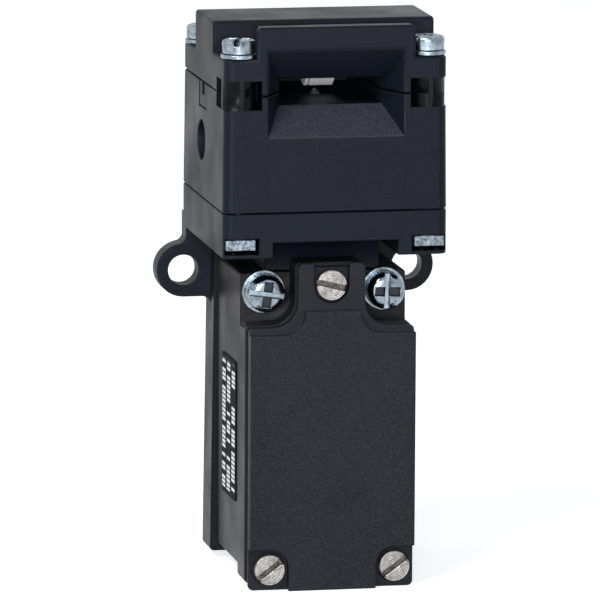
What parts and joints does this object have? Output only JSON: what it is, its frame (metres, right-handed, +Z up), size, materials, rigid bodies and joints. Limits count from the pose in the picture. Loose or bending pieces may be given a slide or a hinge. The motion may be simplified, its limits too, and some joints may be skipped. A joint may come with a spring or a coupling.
{
  "type": "solenoid interlock switch",
  "caption": "Guard door interlock switch with a square operating head on a narrow housing, a front key entry, a sprung plunger and a solenoid lock inside.",
  "frame": {"origin": "on the plunger's axis, at the level of the housing's lowest edge, centre of the bounding box in plan", "axes": "+Z up along the housing, +X to the right seen from the front, the front faces -Y"},
  "size_m": [0.0658, 0.052, 0.1305],
  "materials": {
    "head_plastic": "moulded, fine texture",
    "housing_plastic": "moulded, slight sheen",
    "cover_plastic": "moulded, fine grain",
    "inner_plastic": "moulded, plain",
    "seal_rubber": "matt",
    "zinc_plate": "zinc plated",
    "nickel_plate": "nickel plated, turned",
    "bright_steel": "bright",
    "brass": "plain",
    "copper_wire": "enamelled copper wire",
    "label_film": "printed film"
  },
  "bodies": {
    "casing": {"block_screw_left": "zinc_plate", "block_screw_right": "zinc_plate", "carrier_frame": "head_plastic", "coil_bobbin": "inner_plastic", "coil_winding": "copper_wire", "contact_block": "inner_plastic", "cover_gasket": "seal_rubber", "cover_screw_left": "nickel_plate", "cover_screw_right": "nickel_plate", "cover_screw_top": "nickel_plate", "fixed_contact_lower_left": "brass", "fixed_contact_lower_right": "brass", "fixed_contact_upper_left": "brass", "fixed_contact_upper_right": "brass", "flat_washer_left": "zinc_plate", "flat_washer_right": "zinc_plate", "guide_bush": "brass", "head_body": "head_plastic", "head_cap": "head_plastic", "head_screw_front_left": "zinc_plate", "head_screw_front_right": "zinc_plate", "head_screw_rear_left": "zinc_plate", "head_screw_rear_right": "zinc_plate", "housing_cover": "cover_plastic", "housing_screw_left": "zinc_plate", "housing_screw_right": "zinc_plate", "latch_clip": "head_plastic", "lock_spring": "bright_steel", "return_spring": "bright_steel", "rod_seal": "seal_rubber", "side_label": "label_film", "solenoid_yoke": "zinc_plate", "spring_washer_left": "zinc_plate", "spring_washer_right": "zinc_plate", "square_nut_front_left": "zinc_plate", "square_nut_front_right": "zinc_plate", "square_nut_rear_left": "zinc_plate", "square_nut_rear_right": "zinc_plate", "switch_housing": "housing_plastic", "terminal_screw_lower_left": "nickel_plate", "terminal_screw_lower_right": "nickel_plate", "terminal_screw_upper_left": "nickel_plate", "terminal_screw_upper_right": "nickel_plate", "washer_front_left": "zinc_plate", "washer_front_right": "zinc_plate", "washer_rear_left": "zinc_plate", "washer_rear_right": "zinc_plate", "yoke_screw_front": "zinc_plate", "yoke_screw_rear": "zinc_plate"},
    "wheel": {"drive_wheel": "bright_steel", "coding_disc": "bright_steel", "wheel_axle": "bright_steel"},
    "plunger": {"push_rod": "bright_steel", "contact_carriage": "inner_plastic", "contact_bridge_upper": "brass", "contact_bridge_lower": "brass"},
    "lock_bolt": {"lock_plunger": "bright_steel"}
  },
  "joints": [
    {"name": "wheel_turn", "type": "hinge", "parent": "casing", "child": "wheel", "pos_m": [0, 0, 0.1215], "axis": [1, 0, 0], "range_deg": [0, 60]},
    {"name": "rod_slide", "type": "slide", "parent": "casing", "child": "plunger", "axis": [0, 0, 1], "range_m": [0, 0.0043], "deforming": ["return_spring"]},
    {"name": "lock_slide", "type": "slide", "parent": "casing", "child": "lock_bolt", "axis": [1, 0, 0], "range_m": [0, 0.003], "stiffness_N_per_m": 200, "deforming": ["lock_spring"]}
  ],
  "couplings": [
    {"joint": "rod_slide", "follows": "wheel_turn", "m_per_rad": 0.0041062}
  ]
}
